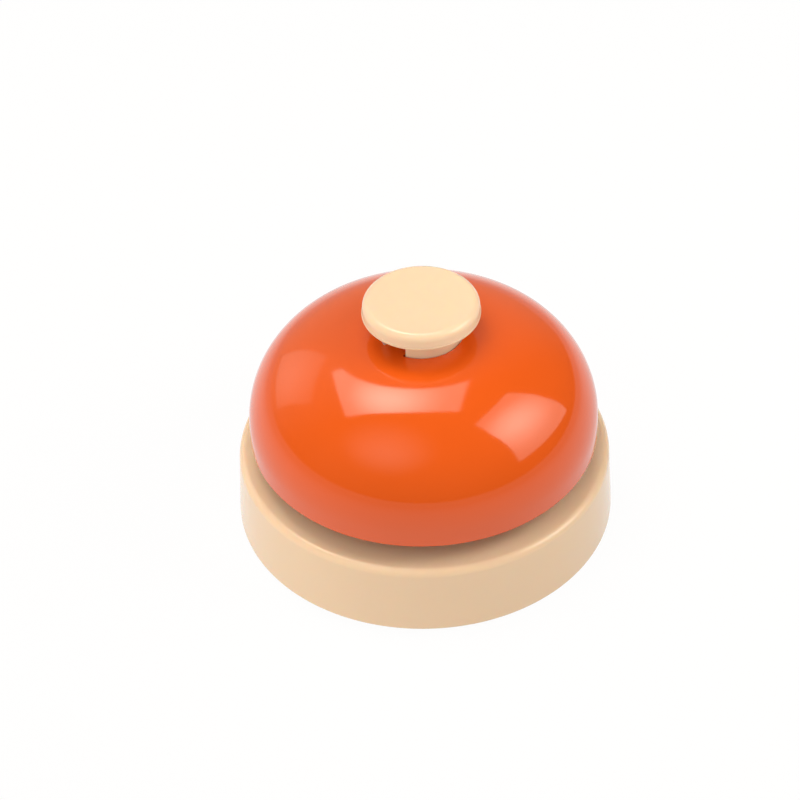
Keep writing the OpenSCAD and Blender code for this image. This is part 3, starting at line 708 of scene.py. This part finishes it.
def softbox(name, place, aim, width, height, core, rim, reach, spot=(0.5, 0.5), flag=None, turn=0.0):
    """A softbox: its cloth glows at the core radiance before the lamp and falls to the rim's within the
    reach. The spot is the lamp's place as shares of width and height; a flag (x, y, radius) is a round
    black screen before the cloth, measured from its corner."""
    lamp = bpy.data.lights.new(name, "AREA")
    lamp.shape = "RECTANGLE"
    lamp.size, lamp.size_y = width, height
    lamp.energy = math.pi * width * height
    lamp.use_nodes = True
    tree = lamp.node_tree
    tree.nodes.clear()
    share = add(tree, "ShaderNodeNewGeometry").outputs["Parametric"]
    cloth = add(tree, "ShaderNodeVectorMath", {0: share}, {1: (width, height, 0)}, operation="MULTIPLY")
    away = add(tree, "ShaderNodeVectorMath", {0: cloth.outputs["Vector"]},
               {1: (spot[0] * width, spot[1] * height, 0)}, operation="DISTANCE")
    glow = add(tree, "ShaderNodeMapRange", {"Value": away.outputs["Value"]},
               {"From Min": 0.0, "From Max": reach, "To Min": core, "To Max": rim},
               interpolation_type="SMOOTHSTEP").outputs["Result"]
    if flag:
        soft_edge = 0.01
        behind = add(tree, "ShaderNodeVectorMath", {0: cloth.outputs["Vector"]},
                     {1: (flag[0], flag[1], 0)}, operation="DISTANCE")
        open_part = add(tree, "ShaderNodeMapRange", {"Value": behind.outputs["Value"]},
                        {"From Min": flag[2] - soft_edge,
                         "From Max": flag[2] + soft_edge}).outputs["Result"]
        glow = add(tree, "ShaderNodeMath", {0: glow, 1: open_part}, operation="MULTIPLY").outputs["Value"]
    light = add(tree, "ShaderNodeEmission", {"Strength": glow}, {"Color": linear(LAMP)})
    add(tree, "ShaderNodeOutputLight", {"Surface": light.outputs["Emission"]})
    stand = bpy.data.objects.new(name, lamp)
    bpy.context.scene.collection.objects.link(stand)
    stand.location = place
    stand.rotation_mode = "QUATERNION"
    stand.rotation_quaternion = (Vector(aim).to_track_quat("-Z", "Y")
                                 @ Matrix.Rotation(turn, 3, "Z").to_quaternion())


def studio_floor(paper):
    """White paper lit from below: white to the camera, with the object's faint shadow, and dimmer far from
    the object in what mirrors it. Seen from below it is clear."""
    material, tree, place = blank("white_studio_floor")
    path = add(tree, "ShaderNodeLightPath").outputs["Is Camera Ray"]
    far = add(tree, "ShaderNodeVectorMath", {0: place}, {1: (0, 0.05, 0)}, operation="DISTANCE")
    fade = add(tree, "ShaderNodeMapRange", {"Value": far.outputs["Value"]},
               {"From Min": 0.08, "From Max": 0.30, "To Min": 1.0, "To Max": 0.50})
    level = add(tree, "ShaderNodeMix", {0: path, 2: fade.outputs["Result"]}, {3: 1.0})
    lit = add(tree, "ShaderNodeEmission", {"Strength": level.outputs[0]}, {"Color": WHITE})
    matt = add(tree, "ShaderNodeBsdfDiffuse", None, {"Color": paper})
    bright = add(tree, "ShaderNodeMixShader",
                 {1: matt.outputs["BSDF"], 2: lit.outputs["Emission"]}, {0: 0.95})
    back = add(tree, "ShaderNodeNewGeometry").outputs["Backfacing"]
    clear = add(tree, "ShaderNodeBsdfTransparent")
    sheet = add(tree, "ShaderNodeMixShader",
                {0: back, 1: bright.outputs["Shader"], 2: clear.outputs["BSDF"]})
    add(tree, "ShaderNodeOutputMaterial", {"Surface": sheet.outputs["Shader"]})
    material.cycles.emission_sampling = "NONE"
    return material


def white_studio():
    """The room: white to the camera, and dim in mirror reflections with a paler wall behind. As fill on
    matt surfaces it is strongest from low at the front left, weaker from overhead, and even from below."""
    world = bpy.data.worlds.new("white_studio")
    world.use_nodes = True
    tree = world.node_tree
    tree.nodes.clear()
    toward = add(tree, "ShaderNodeTexCoord").outputs["Generated"]
    wall = add(tree, "ShaderNodeVectorMath", {0: toward}, {1: BACK_WALL}, operation="DOT_PRODUCT")
    room = add(tree, "ShaderNodeMapRange", {"Value": wall.outputs["Value"]},
               {"From Min": 0.35, "From Max": 1.0, "To Min": 0.11, "To Max": 0.55},
               interpolation_type="SMOOTHSTEP")
    left = add(tree, "ShaderNodeVectorMath", {0: toward}, {1: FRONT_LEFT}, operation="DOT_PRODUCT")
    side = add(tree, "ShaderNodeMapRange", {"Value": left.outputs["Value"]},
               {"From Min": -0.1, "From Max": 0.9, "To Min": 0.05, "To Max": 1.48})
    height = add(tree, "ShaderNodeSeparateXYZ", {"Vector": toward})
    high = add(tree, "ShaderNodeMapRange", {"Value": height.outputs["Z"]},
               {"From Min": 0.45, "From Max": 0.9, "To Min": 1.0, "To Max": 0.6})
    upper = add(tree, "ShaderNodeMath", {0: side.outputs["Result"], 1: high.outputs["Result"]},
                operation="MULTIPLY")
    below = add(tree, "ShaderNodeMapRange", {"Value": height.outputs["Z"]},
                {"From Min": 0.05, "From Max": -0.15, "To Min": 0.0, "To Max": 1.0})
    lower = add(tree, "ShaderNodeMapRange", {"Value": left.outputs["Value"]},
                {"From Min": -0.9, "From Max": 0.9, "To Min": 0.62, "To Max": 0.66})
    fill = add(tree, "ShaderNodeMix", {0: below.outputs["Result"], 2: upper.outputs["Value"],
                                       3: lower.outputs["Result"]})
    path = add(tree, "ShaderNodeLightPath")
    seen = add(tree, "ShaderNodeMix", {0: path.outputs["Is Glossy Ray"], 2: fill.outputs[0],
                                       3: room.outputs["Result"]})
    shown = add(tree, "ShaderNodeMix", {0: path.outputs["Is Camera Ray"], 2: seen.outputs[0]}, {3: 1.0})
    white = add(tree, "ShaderNodeMix", {0: path.outputs["Is Camera Ray"]}, {6: linear(LAMP), 7: WHITE},
                data_type="RGBA")
    sky = add(tree, "ShaderNodeBackground", {"Strength": shown.outputs[0], "Color": white.outputs[2]})
    add(tree, "ShaderNodeOutputWorld", {"Surface": sky.outputs["Background"]})
    return world


class BELL_OT_stage(bpy.types.Operator):
    """Sets the pale floor, the softboxes, the white surround and the camera"""
    bl_idname = "bell.stage"
    bl_label = "Stage"

    def execute(self, context):
        begin()
        bpy.ops.mesh.primitive_plane_add(size=6, location=(0, 0, -0.05 * MM))
        floor = bpy.context.object
        floor.name = "studio_floor"
        floor.data.materials.append(studio_floor(context.scene.bell_colours.floor))
        floor.visible_diffuse = False
        floor.visible_shadow = False

        softbox("overhead_softbox", place=(-0.1225, 0.200, 0.600), aim=(0, 0, -1), width=0.549,
                height=0.400, core=7.2, rim=2.3, reach=0.24, spot=(0.485, 0.27), flag=(0.377, 0.530, 0.318))
        softbox("side_softbox", place=(0.215, -0.006, 0.239), aim=(-0.907, 0.417, -0.061), width=0.196,
                height=0.335, core=5.3, rim=1.6, reach=0.16, spot=(0.36, 0.45), turn=math.radians(-5))
        softbox("left_card", place=(-0.466, 0.329, 0.265), aim=(0.741, -0.558, -0.375), width=0.320,
                height=0.360, core=0.95, rim=0.4, reach=0.25)
        softbox("front_card", place=(-0.205, -0.310, 0.510), aim=(0.34, 0.51, -0.79), width=0.700,
                height=0.700, core=0.95, rim=0.0, reach=0.35)
        context.scene.world = white_studio()

        lens = bpy.data.cameras.new("photo_camera")
        lens.sensor_width = SENSOR
        lens.lens = FOCAL
        lens.shift_x, lens.shift_y = SHIFT
        lens.clip_start = 0.01
        lens.clip_end = 20
        camera = bpy.data.objects.new("photo_camera", lens)
        context.scene.collection.objects.link(camera)
        tilt = math.radians(TILT)
        back = Vector((0, -math.cos(tilt), math.sin(tilt)))
        camera.location = Vector(AIM) + back * AWAY
        camera.rotation_mode = "QUATERNION"
        camera.rotation_quaternion = ((-back).to_track_quat("-Z", "Y")
                                      @ Matrix.Rotation(math.radians(ROLL), 3, "Z").to_quaternion())
        context.scene.camera = camera
        context.scene.view_settings.view_transform = "Standard"
        return {"FINISHED"}


class BELL_PT_panel(bpy.types.Panel):
    """Lists the bell's pieces, sizes and colours"""
    bl_label = "Pet Training Bell"
    bl_idname = "BELL_PT_panel"
    bl_space_type = "VIEW_3D"
    bl_region_type = "UI"
    bl_category = "Bell"

    def draw(self, context):
        for operator in OPERATORS:
            self.layout.operator(operator.bl_idname)
        for group in (context.scene.bell_sizes, context.scene.bell_colours):
            for field in group.bl_rna.properties:
                if field.identifier not in ("name", "rna_type"):
                    self.layout.prop(group, field.identifier)


OPERATORS = (BELL_OT_finishes, BELL_OT_stage, BELL_OT_base, BELL_OT_cover, BELL_OT_feet, BELL_OT_dome,
             BELL_OT_button, BELL_OT_spring, BELL_OT_cushion, BELL_OT_hardware)
CLASSES = (BellSizes, BellColours, *OPERATORS, BELL_PT_panel)


def register():
    """Registers the classes, and the sizes and colours that belong to a scene."""
    for made in CLASSES:
        bpy.utils.register_class(made)
    bpy.types.Scene.bell_sizes = bpy.props.PointerProperty(type=BellSizes)
    bpy.types.Scene.bell_colours = bpy.props.PointerProperty(type=BellColours)


def unregister():
    """Takes back what register did."""
    del bpy.types.Scene.bell_colours
    del bpy.types.Scene.bell_sizes
    for made in reversed(CLASSES):
        bpy.utils.unregister_class(made)


def main():
    """Builds the whole bell and its studio."""
    register()
    bpy.ops.bell.finishes()
    bpy.ops.bell.stage()
    bpy.ops.bell.base()
    bpy.ops.bell.cover()
    bpy.ops.bell.feet()
    bpy.ops.bell.dome()
    bpy.ops.bell.button()
    bpy.ops.bell.spring()
    bpy.ops.bell.cushion()
    bpy.ops.bell.hardware()


if __name__ == "__main__":
    main()
